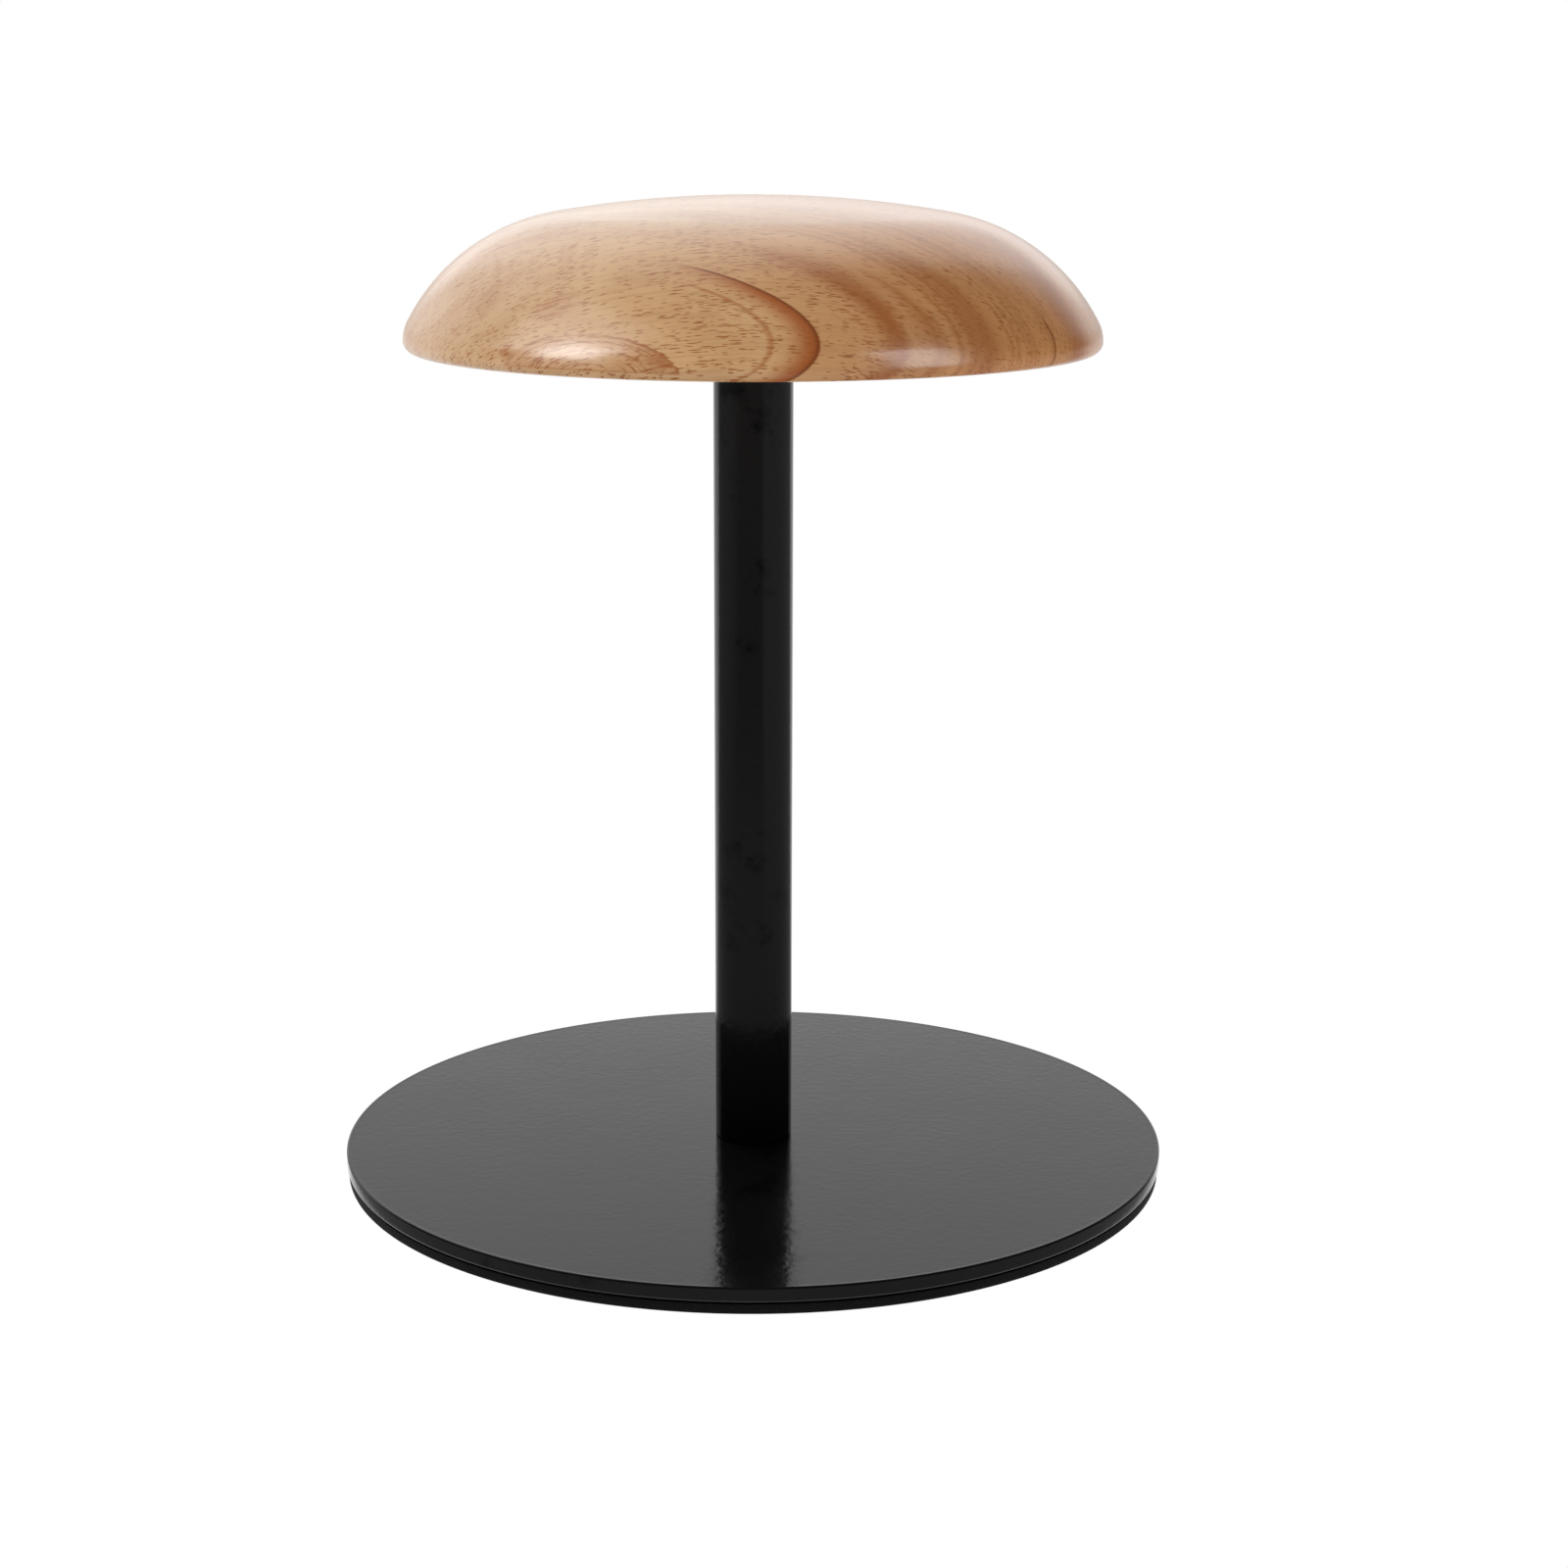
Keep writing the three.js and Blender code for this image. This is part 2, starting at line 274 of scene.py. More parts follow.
# Foam pad
# A ring of closed-cell foam, 1.9 mm thick, die-cut a little smaller than the plate, with a hole
# that clears the head of the base screw. Its cut edge shows open cells as fine light specks.
pad_edge = 0.25 * mm
pad_low, pad_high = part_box("base_pad")
pad_radius = pad_high.x
pad_hole_radius = 7.75 * mm
foam_cell = 0.35 * mm
foam_relief = 0.08 * mm
foam_black = (0.003, 0.003, 0.0032, 1)
speck_grey = (0.04, 0.04, 0.04, 1)
fine_facets = 256
ring_edge_steps = 5


def line_to(outline, start, radius, height):
    """Draws a straight stretch of an outline, which lies in the XZ plane, and returns its end."""
    end = outline.verts.new((radius, 0, height))
    outline.edges.new((start, end))
    return end


def arc_to(outline, start, radius, height, degrees, steps):
    """Swings the end of an outline about a centre, upwards where the angle is positive."""
    swung = bmesh.ops.spin(
        outline, geom=[start], cent=(radius, 0, height), axis=(0, -1, 0),
        angle=radians(degrees), steps=steps,
    )
    return next(item for item in swung["geom_last"] if isinstance(item, bmesh.types.BMVert))


def turned(name, outline, facets):
    """Spins an outline round the Z axis into a closed piece with its faces pointing out."""
    bmesh.ops.spin(
        outline, geom=outline.verts[:] + outline.edges[:], cent=(0, 0, 0), axis=(0, 0, 1),
        angle=2 * pi, steps=facets, use_merge=True,
    )
    weld_distance = 0.001 * mm
    bmesh.ops.remove_doubles(outline, verts=outline.verts, dist=weld_distance)
    bmesh.ops.recalc_face_normals(outline, faces=outline.faces)
    for face in outline.faces:
        face.smooth = True
    made = mesh_object(name, outline)
    favour_large_faces = 100
    even_shading = made.modifiers.new("even_shading", "WEIGHTED_NORMAL")
    even_shading.weight = favour_large_faces
    return made


def rounded_ring(name, inner, outer, bottom, top, edge, facets):
    """A ring with a rounded edge all round each of its four corners."""
    outline = bmesh.new()
    first = outline.verts.new((inner + edge, 0, bottom))
    end = line_to(outline, first, outer - edge, bottom)
    end = arc_to(outline, end, outer - edge, bottom + edge, 90, ring_edge_steps)
    end = line_to(outline, end, outer, top - edge)
    end = arc_to(outline, end, outer - edge, top - edge, 90, ring_edge_steps)
    end = line_to(outline, end, inner + edge, top)
    end = arc_to(outline, end, inner + edge, top - edge, 90, ring_edge_steps)
    end = line_to(outline, end, inner, bottom + edge)
    end = arc_to(outline, end, inner + edge, bottom + edge, 90, ring_edge_steps)
    outline.edges.new((end, first))
    return turned(name, outline, facets)


def mixed_colour(tree, share, first, second):
    """Blends two colours, each a value or a link."""
    made = node(tree, "ShaderNodeMix", share, data_type="RGBA")
    for socket, value in zip(made.inputs[6:8], (first, second)):
        if isinstance(value, bpy.types.NodeSocket):
            tree.links.new(value, socket)
        else:
            socket.default_value = value
    return made.outputs[2]


def relief(tree, height, strength, depth):
    """Dents and raises a surface a little, for its shading only."""
    bump = node(tree, "ShaderNodeBump")
    bump.inputs["Strength"].default_value = strength
    bump.inputs["Distance"].default_value = depth
    tree.links.new(height, bump.inputs["Height"])
    return bump.outputs[0]


foam_pad = rounded_ring(
    "foam_pad", pad_hole_radius, pad_radius, pad_low.z, pad_high.z, pad_edge, fine_facets
)
black_foam, tree, foam = bare_material("black_foam")
place = node(tree, "ShaderNodeTexCoord").outputs["Object"]
cells = node(tree, "ShaderNodeTexVoronoi", place, None, 1 / foam_cell)
cell_size = cells.outputs["Distance"]
speck_chance = parts_of(tree, cells.outputs["Color"])[0]
speck = maths(tree, "MULTIPLY", ramp(tree, cell_size, 0.32, 0.12), ramp(tree, speck_chance, 0.72, 0.8))
tree.links.new(mixed_colour(tree, speck, foam_black, speck_grey), foam.inputs["Base Color"])
foam.inputs["Roughness"].default_value = 0.85
foam.inputs["Specular IOR Level"].default_value = 0.25
tree.links.new(relief(tree, cell_size, 0.6, foam_relief), foam.inputs["Normal"])
foam_pad.data.materials.append(black_foam)
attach(foam_pad, "root")
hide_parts("base_pad")

# Adhesive film
# A thin double-sided film that holds the pad under the plate. It is milky and slightly uneven,
# and is set back from the edge of the pad.
film_cloud = 9 * mm
film_dark = (0.42, 0.4, 0.33, 1)
film_pale = (0.58, 0.56, 0.47, 1)


def noise(tree, vector, detail=2, roughness=0.5, size=1):
    """Soft patches between 0 and 1, each about as large as the size."""
    return node(tree, "ShaderNodeTexNoise", vector, None, 1 / size, detail, roughness).outputs[0]


def dress(names, material):
    """Gives a material to nodes of the frame that stay as they are."""
    for name in names:
        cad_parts[name].data.materials.clear()
        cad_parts[name].data.materials.append(material)


adhesive_film, tree, film = bare_material("adhesive_film")
place = node(tree, "ShaderNodeTexCoord").outputs["Object"]
clouds = noise(tree, place, 3, size=film_cloud)
tree.links.new(mixed_colour(tree, clouds, film_dark, film_pale), film.inputs["Base Color"])
tree.links.new(ramp(tree, clouds, 0.3, 0.7, 0.35, 0.6), film.inputs["Roughness"])
dress(["pad_adhesive"], adhesive_film)

# Base plate
# A steel disc, 2.6 mm thick, with its edges just broken, countersunk from below for the base
# screw. Its black powder coat has a fine orange peel, faint smudges, a few specks of dust and a
# slight bead round the rim, where the powder builds up. The post has the same coat.
plate_edge = 0.4 * mm
plate_edge_steps = 6
bead_height = 0.08 * mm
bead_width = 0.8 * mm
plate_low, plate_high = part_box("base_plate")
plate_radius = plate_high.x
shank_hole_radius = 2.7 * mm
countersink_radius = 4.9 * mm
countersink_depth = 2.45 * mm
peel_grain = 1.4 * mm
peel_relief = 0.035 * mm
mark_size = 9 * mm
smudge_size = 22 * mm
dust_spacing = 7 * mm
paint_black = (0.016, 0.016, 0.0165, 1)
mark_black = (0.003, 0.003, 0.003, 1)
dust_grey = (0.16, 0.16, 0.16, 1)

outline = bmesh.new()
start = outline.verts.new((countersink_radius, 0, plate_low.z))
end = line_to(outline, start, plate_radius - plate_edge, plate_low.z)
end = arc_to(outline, end, plate_radius - plate_edge, plate_low.z + plate_edge, 90, plate_edge_steps)
bead_low = plate_high.z + bead_height - plate_edge
end = line_to(outline, end, plate_radius, bead_low)
end = arc_to(outline, end, plate_radius - plate_edge, bead_low, 90, plate_edge_steps)
end = line_to(outline, end, plate_radius - plate_edge - bead_width, plate_high.z)
end = line_to(outline, end, shank_hole_radius, plate_high.z)
end = line_to(outline, end, shank_hole_radius, plate_low.z + countersink_depth)
outline.edges.new((end, start))
steel_plate = turned("steel_plate", outline, fine_facets)

black_powder_coat, tree, paint = bare_material("black_powder_coat")
place = node(tree, "ShaderNodeTexCoord").outputs["Object"]
smudges = noise(tree, place, 4, 0.6, smudge_size)
marks = ramp(tree, noise(tree, place, 4, 0.65, mark_size), 0.54, 0.72)
dust_cells = node(tree, "ShaderNodeTexVoronoi", place, None, 1 / dust_spacing)
dust_chance = parts_of(tree, dust_cells.outputs["Color"])[1]
dust = ramp(tree, dust_cells.outputs["Distance"], 0.03, 0.018)
dust = maths(tree, "MULTIPLY", dust, ramp(tree, dust_chance, 0.8, 0.82))
colour = mixed_colour(tree, marks, paint_black, mark_black)
colour = mixed_colour(tree, dust, colour, dust_grey)
tree.links.new(colour, paint.inputs["Base Color"])
dulled = maths(tree, "MULTIPLY_ADD", marks, 0.08, ramp(tree, smudges, 0.4, 0.7, 0.1, 0.15))
tree.links.new(dulled, paint.inputs["Roughness"])
paint.inputs["Specular IOR Level"].default_value = 0.275
orange_peel = relief(tree, noise(tree, place, size=peel_grain), 0.8, peel_relief)
tree.links.new(orange_peel, paint.inputs["Normal"])
steel_plate.data.materials.append(black_powder_coat)
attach(steel_plate, "root")
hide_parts("base_plate")

# Base screw and stud
# A countersunk screw that comes up through the plate, and the stud that joins the post to the
# head. Both are steel with a thin, slightly uneven black oxide.
oxide_patch = 1.6 * mm
oxide_dark = (0.02, 0.021, 0.024, 1)
oxide_worn = (0.055, 0.056, 0.06, 1)
black_oxide_steel, tree, steel = bare_material("black_oxide_steel")
place = node(tree, "ShaderNodeTexCoord").outputs["Object"]
wear = noise(tree, place, 4, 0.6, oxide_patch)
tree.links.new(mixed_colour(tree, wear, oxide_dark, oxide_worn), steel.inputs["Base Color"])
tree.links.new(ramp(tree, wear, 0.3, 0.7, 0.32, 0.5), steel.inputs["Roughness"])
steel.inputs["Metallic"].default_value = 0.8
dress(["base_screw", "head_stud"], black_oxide_steel)

# Plugs and insert
# A tapped steel plug welded into each end of the post, and the threaded insert that is screwed
# into the wood. They are bright zinc plate with the faint clouds that the plating bath leaves.
zinc_cloud = 3 * mm
zinc_blue = (0.5, 0.53, 0.56, 1)
zinc_grey = (0.64, 0.65, 0.64, 1)
zinc_plated_steel, tree, steel = bare_material("zinc_plated_steel")
place = node(tree, "ShaderNodeTexCoord").outputs["Object"]
bloom = noise(tree, place, 3, 0.55, zinc_cloud)
tree.links.new(mixed_colour(tree, bloom, zinc_blue, zinc_grey), steel.inputs["Base Color"])
tree.links.new(ramp(tree, bloom, 0.3, 0.7, 0.22, 0.38), steel.inputs["Roughness"])
steel.inputs["Metallic"].default_value = 1
dress(["post_lower_plug", "post_upper_plug", "head_insert"], zinc_plated_steel)

# Post
# A straight steel tube, 14 mm across, powder-coated like the plate, with its ends deburred.
# It stands on the plate, and the flat underside of the head rests on it.
tube_wall = 1.5 * mm
tube_edge = 0.3 * mm
tube_facets = 128
tube_low, tube_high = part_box("post_tube")
tube_radius = tube_high.x
steel_tube = rounded_ring(
    "steel_tube", tube_radius - tube_wall, tube_radius, tube_low.z, tube_high.z, tube_edge, tube_facets
)
steel_tube.data.materials.append(black_powder_coat)
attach(steel_tube, "root")
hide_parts("post_tube")

# Head
# Turned from one block of pale hardwood: a low crown, a round shoulder, a blunt nose and a rim
# that rolls under to a flat underside with the hole for the insert. Clear satin lacquer. Its top
# is lowered by a hair, so that rounding can't lift it out of the box of the solids.
head_low, head_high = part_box("head")
hair = 0.001 * mm
head_top = head_high.z - hair
head_radius = head_high.x
underside = head_low.z
crown_degrees = 9.5
shoulder_degrees = 62
nose_radius = 6.5 * mm
rim_radius = 1.8 * mm
insert_hole_radius = 5.08 * mm
insert_hole_depth = 12.7 * mm
stud_hole_radius = 2.7 * mm
stud_hole_depth = 15.7 * mm
rim_steps = 10
nose_steps = 8
shoulder_steps = 44
crown_steps = 26
pale_left = (0.69, 0.42, 0.205, 1)
# The right-hand tone is redder wood, and also lighter than the wood, as painted light on the right
# side. The next tone, paler, is a painted sheen for the far left.
right_pale_with_painted_light = (0.61, 0.28, 0.105, 1)
painted_sheen_pale = (0.66, 0.45, 0.29, 1)
core_pale = (0.72, 0.46, 0.23, 1)
mottle_brown = (0.52, 0.255, 0.1, 1)
streak_brown = (0.42, 0.165, 0.052, 1)
late_wood_brown = (0.37, 0.11, 0.024, 1)
tongue_red = (0.4, 0.1, 0.02, 1)
lens_red = (0.36, 0.1, 0.024, 1)
smudge_brown = (0.42, 0.15, 0.036, 1)
fibre_brown = (0.38, 0.16, 0.055, 1)
pore_brown = (0.33, 0.095, 0.02, 1)
line_brown = (0.24, 0.055, 0.01, 1)
pore_depth = 1.6
groove_relief = 0.02 * mm

# The shoulder meets the crown and the nose without a kink. That sets the radii of the shoulder and
# of the crown, which follow from two equations: one across the head and one down it.
crown_end, shoulder_end = radians(crown_degrees), radians(shoulder_degrees)
across_shoulder = head_radius - nose_radius * (1 - sin(shoulder_end))
down_shoulder = head_top - underside - rim_radius - nose_radius * cos(shoulder_end)
shoulder_width = sin(shoulder_end) - sin(crown_end)
shoulder_drop = cos(crown_end) - cos(shoulder_end)
crown_drop = 1 - cos(crown_end)
scale = sin(crown_end) * shoulder_drop - crown_drop * shoulder_width
crown_radius = (across_shoulder * shoulder_drop - down_shoulder * shoulder_width) / scale
shoulder_radius = (down_shoulder * sin(crown_end) - across_shoulder * crown_drop) / scale
crown_centre = head_top - crown_radius
shoulder_out = (crown_radius - shoulder_radius) * sin(crown_end)
shoulder_up = crown_centre + (crown_radius - shoulder_radius) * cos(crown_end)

outline = bmesh.new()
start = outline.verts.new((0, 0, underside + stud_hole_depth))
end = line_to(outline, start, stud_hole_radius, underside + stud_hole_depth)
end = line_to(outline, end, stud_hole_radius, underside + insert_hole_depth)
end = line_to(outline, end, insert_hole_radius, underside + insert_hole_depth)
end = line_to(outline, end, insert_hole_radius, underside)
end = line_to(outline, end, head_radius - rim_radius, underside)
nose_low = underside + rim_radius
end = arc_to(outline, end, head_radius - rim_radius, nose_low, 90, rim_steps)
end = arc_to(outline, end, head_radius - nose_radius, nose_low, 90 - shoulder_degrees, nose_steps)
end = arc_to(outline, end, shoulder_out, shoulder_up, shoulder_degrees - crown_degrees, shoulder_steps)
end = arc_to(outline, end, 0, crown_centre, crown_degrees, crown_steps)
wooden_head = turned("wooden_head", outline, fine_facets)
lit_by_softboxes = bpy.data.collections.new("lit_by_softboxes")
lit_by_softboxes.objects.link(wooden_head)
for light in softboxes:
    light.light_linking.receiver_collection = lit_by_softboxes

lacquered_wood, tree, wood = bare_material("lacquered_wood")
in_metres = node(tree, "ShaderNodeTexCoord").outputs["Object"]
scaled = node(tree, "ShaderNodeVectorMath", in_metres, operation="SCALE")
scaled.inputs["Scale"].default_value = 1 / mm
place = scaled.outputs[0]
along, depth, height = parts_of(tree, place)


def stretched(tree, vector, along, across, deep, shift=(0, 0, 0)):
    """Squeezes a pattern's coordinates, so that a cell has the length, width and depth asked for."""
    cells_per_mm = (1 / along, 1 / across, 1 / deep)
    return node(tree, "ShaderNodeMapping", vector, shift, None, cells_per_mm).outputs[0]


def length_of(tree, vector):
    return node(tree, "ShaderNodeVectorMath", vector, operation="LENGTH").outputs["Value"]


def swing(tree, value, amount):
    """Turns a noise between 0 and 1 into one between minus and plus an amount."""
    return maths(tree, "MULTIPLY", maths(tree, "MULTIPLY_ADD", value, 2, -1), amount)


# The fibres lie like the stripes of a melon round a line below the head, so they rise towards the
# middle of the head from both ends. Places and widths in the figure are in millimetres.
fibre_line_height = 115
fibre_bend = 70
fibre_girth = 65
above_line = maths(tree, "SUBTRACT", height, fibre_line_height)
out_of_line = length_of(tree, node(tree, "ShaderNodeCombineXYZ", 0, depth, above_line).outputs[0])
bend_angle = maths(tree, "ARCSINE", maths(tree, "DIVIDE", along, fibre_bend))
down_grain = maths(tree, "MULTIPLY", bend_angle, fibre_bend)
round_grain = maths(tree, "MULTIPLY", maths(tree, "ARCTAN2", depth, above_line), fibre_girth)
grain = node(tree, "ShaderNodeCombineXYZ", down_grain, round_grain, out_of_line).outputs[0]

# The growth rings are blunt cones round another line, which runs along the grain just outside the
# front of the head, so that the turned shape cuts them into tongues.
ring_axis = (0, -63.2, 157.3)
tongue_slope = 2.31
tongue_blunt = 9.5
from_axis = node(tree, "ShaderNodeVectorMath", place, ring_axis, operation="SUBTRACT").outputs[0]
from_axis = node(tree, "ShaderNodeVectorMath", from_axis, (0, 1, 1), operation="MULTIPLY").outputs[0]
distance = length_of(tree, from_axis)
blunted = maths(tree, "SQRT", maths(tree, "MULTIPLY_ADD", distance, distance, tongue_blunt**2))
climb = maths(tree, "MULTIPLY", maths(tree, "SUBTRACT", blunted, tongue_blunt), tongue_slope)
wander_reach = ramp(tree, distance, 14, 46, 0.3, 4)
wander = swing(tree, noise(tree, stretched(tree, place, 26, 13, 13)), wander_reach)
fray = swing(tree, noise(tree, stretched(tree, grain, 5, 0.4, 9), 3, 0.6), 2)
ring = maths(tree, "ADD", maths(tree, "ADD", along, climb), wander)
frayed_ring = maths(tree, "ADD", ring, fray)


def growth_ring(tree, ring, start, darkest, end, strength):
    """A band that is strongest at the darkest place and has faded away at its start and its end."""
    rise = ramp(tree, ring, start, darkest)
    fall = ramp(tree, ring, end, darkest)
    both = maths(tree, "MULTIPLY", rise, fall)
    return maths(tree, "MULTIPLY", both, strength)


# The late wood darkens slowly across a ring and ends more sharply.
first_band_end = ramp(tree, height, 153, 168, 35.4, 44)
first_band_strength = ramp(tree, along, -8, 22, 0.1, 0.85)
first_band = growth_ring(tree, frayed_ring, 24.5, 32.4, first_band_end, first_band_strength)
second_band = growth_ring(tree, frayed_ring, 46, 62, 70, ramp(tree, along, 14, 34, 0.1, 0.55))
thin_bands = greatest(tree, [
    growth_ring(tree, frayed_ring, 38, 43, 46, ramp(tree, along, 12, 26, 0, 0.5)),
    growth_ring(tree, frayed_ring, 49, 51, 52, ramp(tree, along, 14, 28, 0, 0.5)),
    growth_ring(tree, frayed_ring, 54, 56, 57, ramp(tree, along, 16, 28, 0, 0.6)),
    growth_ring(tree, frayed_ring, 71, 72.5, 73.5, ramp(tree, along, 36, 40, 0, 0.45)),
    growth_ring(tree, frayed_ring, 80, 84, 87, 0.2),
])
later_bands = greatest(tree, [
    growth_ring(tree, frayed_ring, 104, 122, 138, ramp(tree, along, 30, 50, 0.15, 0.75)),
    growth_ring(tree, frayed_ring, 150, 162, 170, 0.3),
    growth_ring(tree, frayed_ring, 180, 196, 204, 0.3),
    growth_ring(tree, frayed_ring, 214, 236, 244, 0.35),
    growth_ring(tree, frayed_ring, 254, 280, 288, 0.4),
    growth_ring(tree, frayed_ring, 300, 330, 340, 0.45),
])
late_wood = greatest(tree, [first_band, second_band, thin_bands, later_bands])

# Between the bands lie faint streaks along the rings, soft mottle, and fibres along the grain.
layer_thickness = 2.2
layer_length = 18
layer_place = node(
    tree, "ShaderNodeCombineXYZ", maths(tree, "DIVIDE", frayed_ring, layer_thickness),
    maths(tree, "DIVIDE", depth, layer_length), maths(tree, "DIVIDE", height, layer_length),
).outputs[0]
layer_streaks = ramp(tree, noise(tree, layer_place, 3, 0.6), 0.42, 0.72)
mottle = ramp(tree, noise(tree, stretched(tree, grain, 15, 6, 9)), 0.42, 0.72)
fibres = ramp(tree, noise(tree, stretched(tree, grain, 12, 0.4, 6), 2, 0.6), 0.45, 0.72)

# The tongue is reddish inside its dark line, which fades out to the left, and a fainter arc lies
# within it. One more fine line crosses the rim far to the right.
tongue_fade = ramp(tree, along, -13, -6)
slow_fade = ramp(tree, along, -16, 4)
inside_tongue = maths(tree, "MULTIPLY", growth_ring(tree, ring, 8, 13.4, 14.3, 0.95), slow_fade)
tongue_line = maths(tree, "MULTIPLY", growth_ring(tree, ring, 13, 14.1, 14.7, 1), tongue_fade)
fine_line = growth_ring(tree, ring, 96.8, 98.2, 99.2, ramp(tree, height, 159, 155, 0, 0.85))
slightly_frayed = maths(tree, "ADD", ring, maths(tree, "MULTIPLY", fray, 0.25))
inner_arc = maths(tree, "MULTIPLY", growth_ring(tree, slightly_frayed, 5, 6, 6.9, 0.55), tongue_fade)

# The pale wood is redder to the right and lighter there, as painted light on that side. It is
# paler at the far left, a painted sheen, and yellowest in the core of the tongue. The bands, the
# streaks and the tongue are laid over it.
pale = mixed_colour(tree, ramp(tree, along, -30, 45), pale_left, right_pale_with_painted_light)
pale = mixed_colour(tree, ramp(tree, along, -20, -55, 0, 0.7), pale, painted_sheen_pale)
in_core = maths(tree, "MULTIPLY", ramp(tree, ring, 10, 6), ramp(tree, along, -18, -8))
pale = mixed_colour(tree, maths(tree, "MULTIPLY", in_core, 0.5), pale, core_pale)
pale = mixed_colour(tree, maths(tree, "MULTIPLY", mottle, 0.35), pale, mottle_brown)
streak_share = maths(tree, "MULTIPLY", layer_streaks, ramp(tree, ring, 20, 50, 0.1, 0.6))
pale = mixed_colour(tree, streak_share, pale, streak_brown)
colour = mixed_colour(tree, late_wood, pale, late_wood_brown)
reddish = maths(tree, "MAXIMUM", inside_tongue, inner_arc)
colour = mixed_colour(tree, reddish, colour, tongue_red)

# A shallow lens of reddish wood shows low at the front left, where the turning just cuts into
# another ring. It is streaked, and darkest at its right end.
lens_middle = -25
lens_height = 149.5
lens_half_length = 14.3
lens_half_height = 6.4
lens_across = maths(tree, "DIVIDE", maths(tree, "SUBTRACT", along, lens_middle), lens_half_length)
lens_up = maths(tree, "DIVIDE", maths(tree, "SUBTRACT", height, lens_height), lens_half_height)
lens = length_of(tree, node(tree, "ShaderNodeCombineXYZ", lens_across, lens_up, 0).outputs[0])
lens_fray = swing(tree, noise(tree, stretched(tree, grain, 5, 0.35, 9)), 0.07)
frayed_lens = maths(tree, "ADD", lens, lens_fray)
in_front = ramp(tree, depth, -38, -43)
above_rim = ramp(tree, height, 150, 150.4)
lens_place = node(tree, "ShaderNodeCombineXYZ", lens, along, 0).outputs[0]
lens_arcs = ramp(tree, noise(tree, stretched(tree, lens_place, 0.045, 4, 1)), 0.54, 0.66, 0.12, 0.8)
lens_edge = growth_ring(tree, frayed_lens, 0.9, 0.98, 1.01, ramp(tree, along, -32, -14, 0.4, 0.85))
second_edge = growth_ring(tree, frayed_lens, 0.78, 0.83, 0.86, ramp(tree, along, -36, -16, 0.2, 0.65))
third_edge = growth_ring(tree, frayed_lens, 0.6, 0.65, 0.68, ramp(tree, along, -30, -16, 0.2, 0.6))
lens_body = maths(tree, "MULTIPLY", ramp(tree, frayed_lens, 1.01, 0.97), lens_arcs)
streaky = ramp(tree, noise(tree, stretched(tree, grain, 4, 0.5, 6)), 0.35, 0.6, 0.35, 0.9)
lens_end = maths(tree, "MULTIPLY", ramp(tree, frayed_lens, 1.01, 0.95), ramp(tree, along, -20, -12))
lens_end = maths(tree, "MULTIPLY", lens_end, streaky)
lens_foot = growth_ring(tree, height, 150.1, 150.4, 150.6, ramp(tree, frayed_lens, 1, 0.95, 0, 0.5))
lens_share = greatest(tree, [lens_edge, second_edge, third_edge, lens_body, lens_end, lens_foot])
lens_share = maths(tree, "MULTIPLY", maths(tree, "MULTIPLY", lens_share, in_front), above_rim)
colour = mixed_colour(tree, lens_share, colour, lens_red)


# Above the lens lie a brown smudge, a faint haze to its left and a small knot with a shade of its
# own. A few brown flecks lie at the left corner of the lens.
def nearness(tree, place, centre, long, wide):
    """One at a place on the head, and nothing at a long or a wide distance from it."""
    offset = node(tree, "ShaderNodeVectorMath", place, centre, operation="SUBTRACT").outputs[0]
    return ramp(tree, length_of(tree, stretched(tree, offset, long, wide, wide)), 1, 0.1)


smudge_streaks = ramp(tree, noise(tree, stretched(tree, grain, 6, 0.6, 6)), 0.42, 0.6, 0.3, 1)
smudge = maths(tree, "MULTIPLY", nearness(tree, place, (-31, -46.5, 159.7), 10, 3.4), smudge_streaks)
left_haze = maths(tree, "MULTIPLY", nearness(tree, place, (-43, -36, 159.5), 11, 4), 0.3)
corner = maths(tree, "MULTIPLY", nearness(tree, place, (-39, -46, 152.6), 3, 2), streaky)
knot_shade = maths(tree, "MULTIPLY", nearness(tree, place, (-29.4, -37.8, 166.8), 2.2, 4.5), 0.25)
knot = maths(tree, "MULTIPLY", nearness(tree, place, (-28.8, -35.3, 168.3), 1.3, 1.1), 0.7)
smudges = greatest(tree, [smudge, left_haze, corner, knot_shade, knot])
colour = mixed_colour(tree, smudges, colour, smudge_brown)
colour = mixed_colour(tree, maths(tree, "MULTIPLY", fibres, 0.25), colour, fibre_brown)


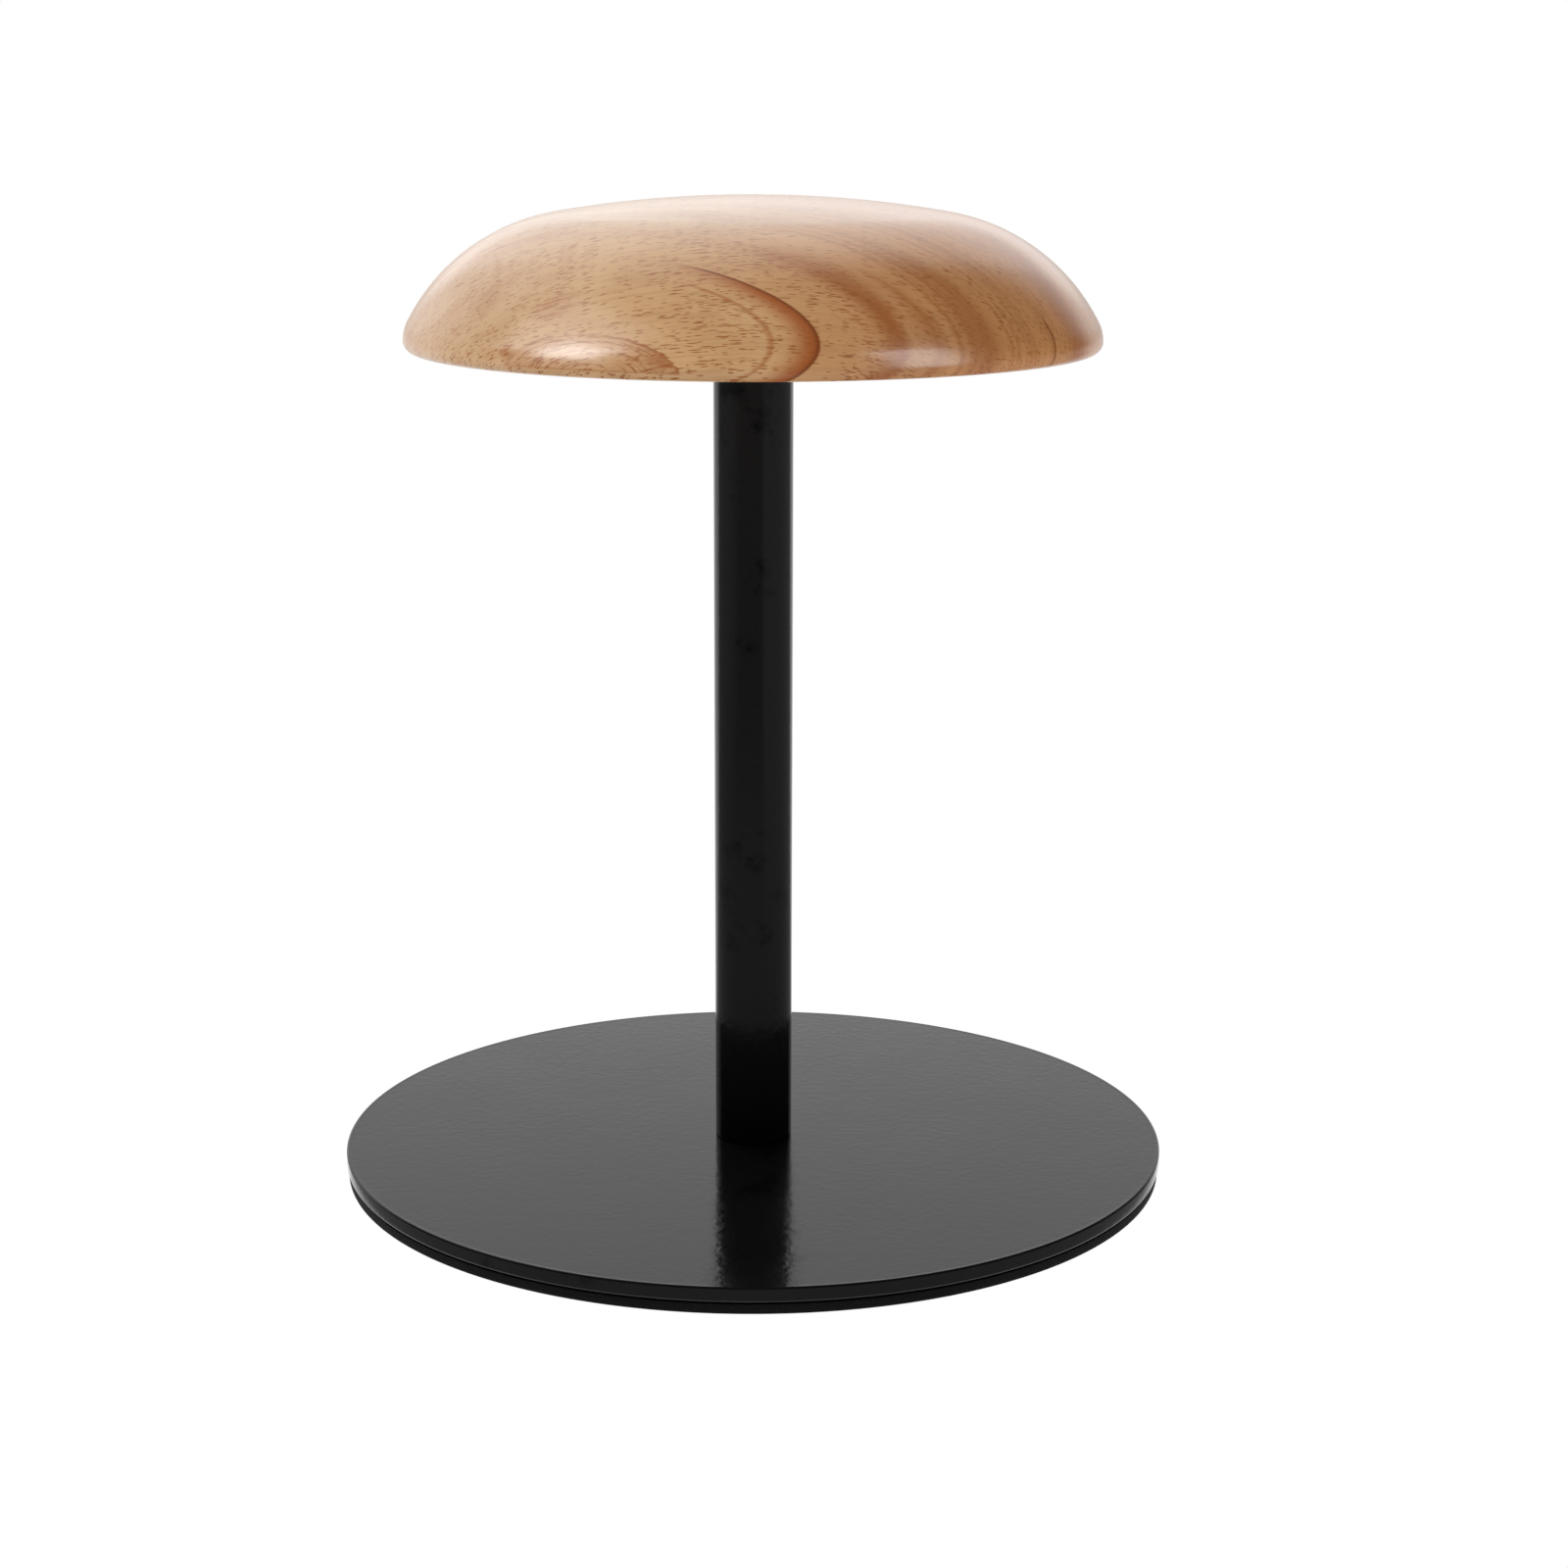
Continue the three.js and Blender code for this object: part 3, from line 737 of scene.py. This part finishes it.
# Pores are cut along the fibres, so they show as short dashes. They crowd together in patches, in
# the core of the tongue and where the late wood starts.
def pores(tree, grain, long, wide, shift, share):
    """Short tubes along the fibres, in as many of their cells as the share says."""
    tubes = stretched(tree, grain, long, wide, pore_depth, shift)
    cells = node(tree, "ShaderNodeTexVoronoi", tubes, None, 1)
    chance = parts_of(tree, cells.outputs["Color"])[0]
    kept = maths(tree, "LESS_THAN", chance, share)
    return maths(tree, "MULTIPLY", ramp(tree, cells.outputs["Distance"], 0.3, 0.18), kept)


patches = ramp(tree, noise(tree, stretched(tree, grain, 13, 6, 9)), 0.35, 0.65, 0.25, 0.8)
in_late_wood = growth_ring(tree, ring, 16, 28, 42, ramp(tree, along, -28, -4, 0.3, 0.98))
crowding = greatest(tree, [patches, maths(tree, "MULTIPLY", in_core, 0.85), in_late_wood])
pore = greatest(tree, [
    pores(tree, grain, 4.6, 0.36, (0, 0, 0), maths(tree, "MULTIPLY", crowding, 0.95)),
    pores(tree, grain, 3, 0.32, (3, 5, 7), maths(tree, "MULTIPLY", crowding, 0.9)),
    pores(tree, grain, 2, 0.28, (11, 2, 5), maths(tree, "MULTIPLY", crowding, 0.8)),
    pores(tree, grain, 2.4, 0.26, (5, 8, 2), maths(tree, "MULTIPLY", in_late_wood, 0.9)),
])
colour = mixed_colour(tree, maths(tree, "MULTIPLY", pore, 0.85), colour, pore_brown)
lines = maths(tree, "MAXIMUM", tongue_line, fine_line)
colour = mixed_colour(tree, lines, colour, line_brown)
tree.links.new(colour, wood.inputs["Base Color"])
wood.inputs["Roughness"].default_value = 0.34
wood.inputs["Specular IOR Level"].default_value = 0
wood.inputs["Coat Weight"].default_value = 1
wood.inputs["Coat Roughness"].default_value = 0.23
wood.inputs["Coat IOR"].default_value = 1.72
grooves = relief(tree, maths(tree, "SUBTRACT", 1, pore), 0.12, groove_relief)
tree.links.new(grooves, wood.inputs["Normal"])
wooden_head.data.materials.append(lacquered_wood)
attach(wooden_head, "root")
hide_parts("head")
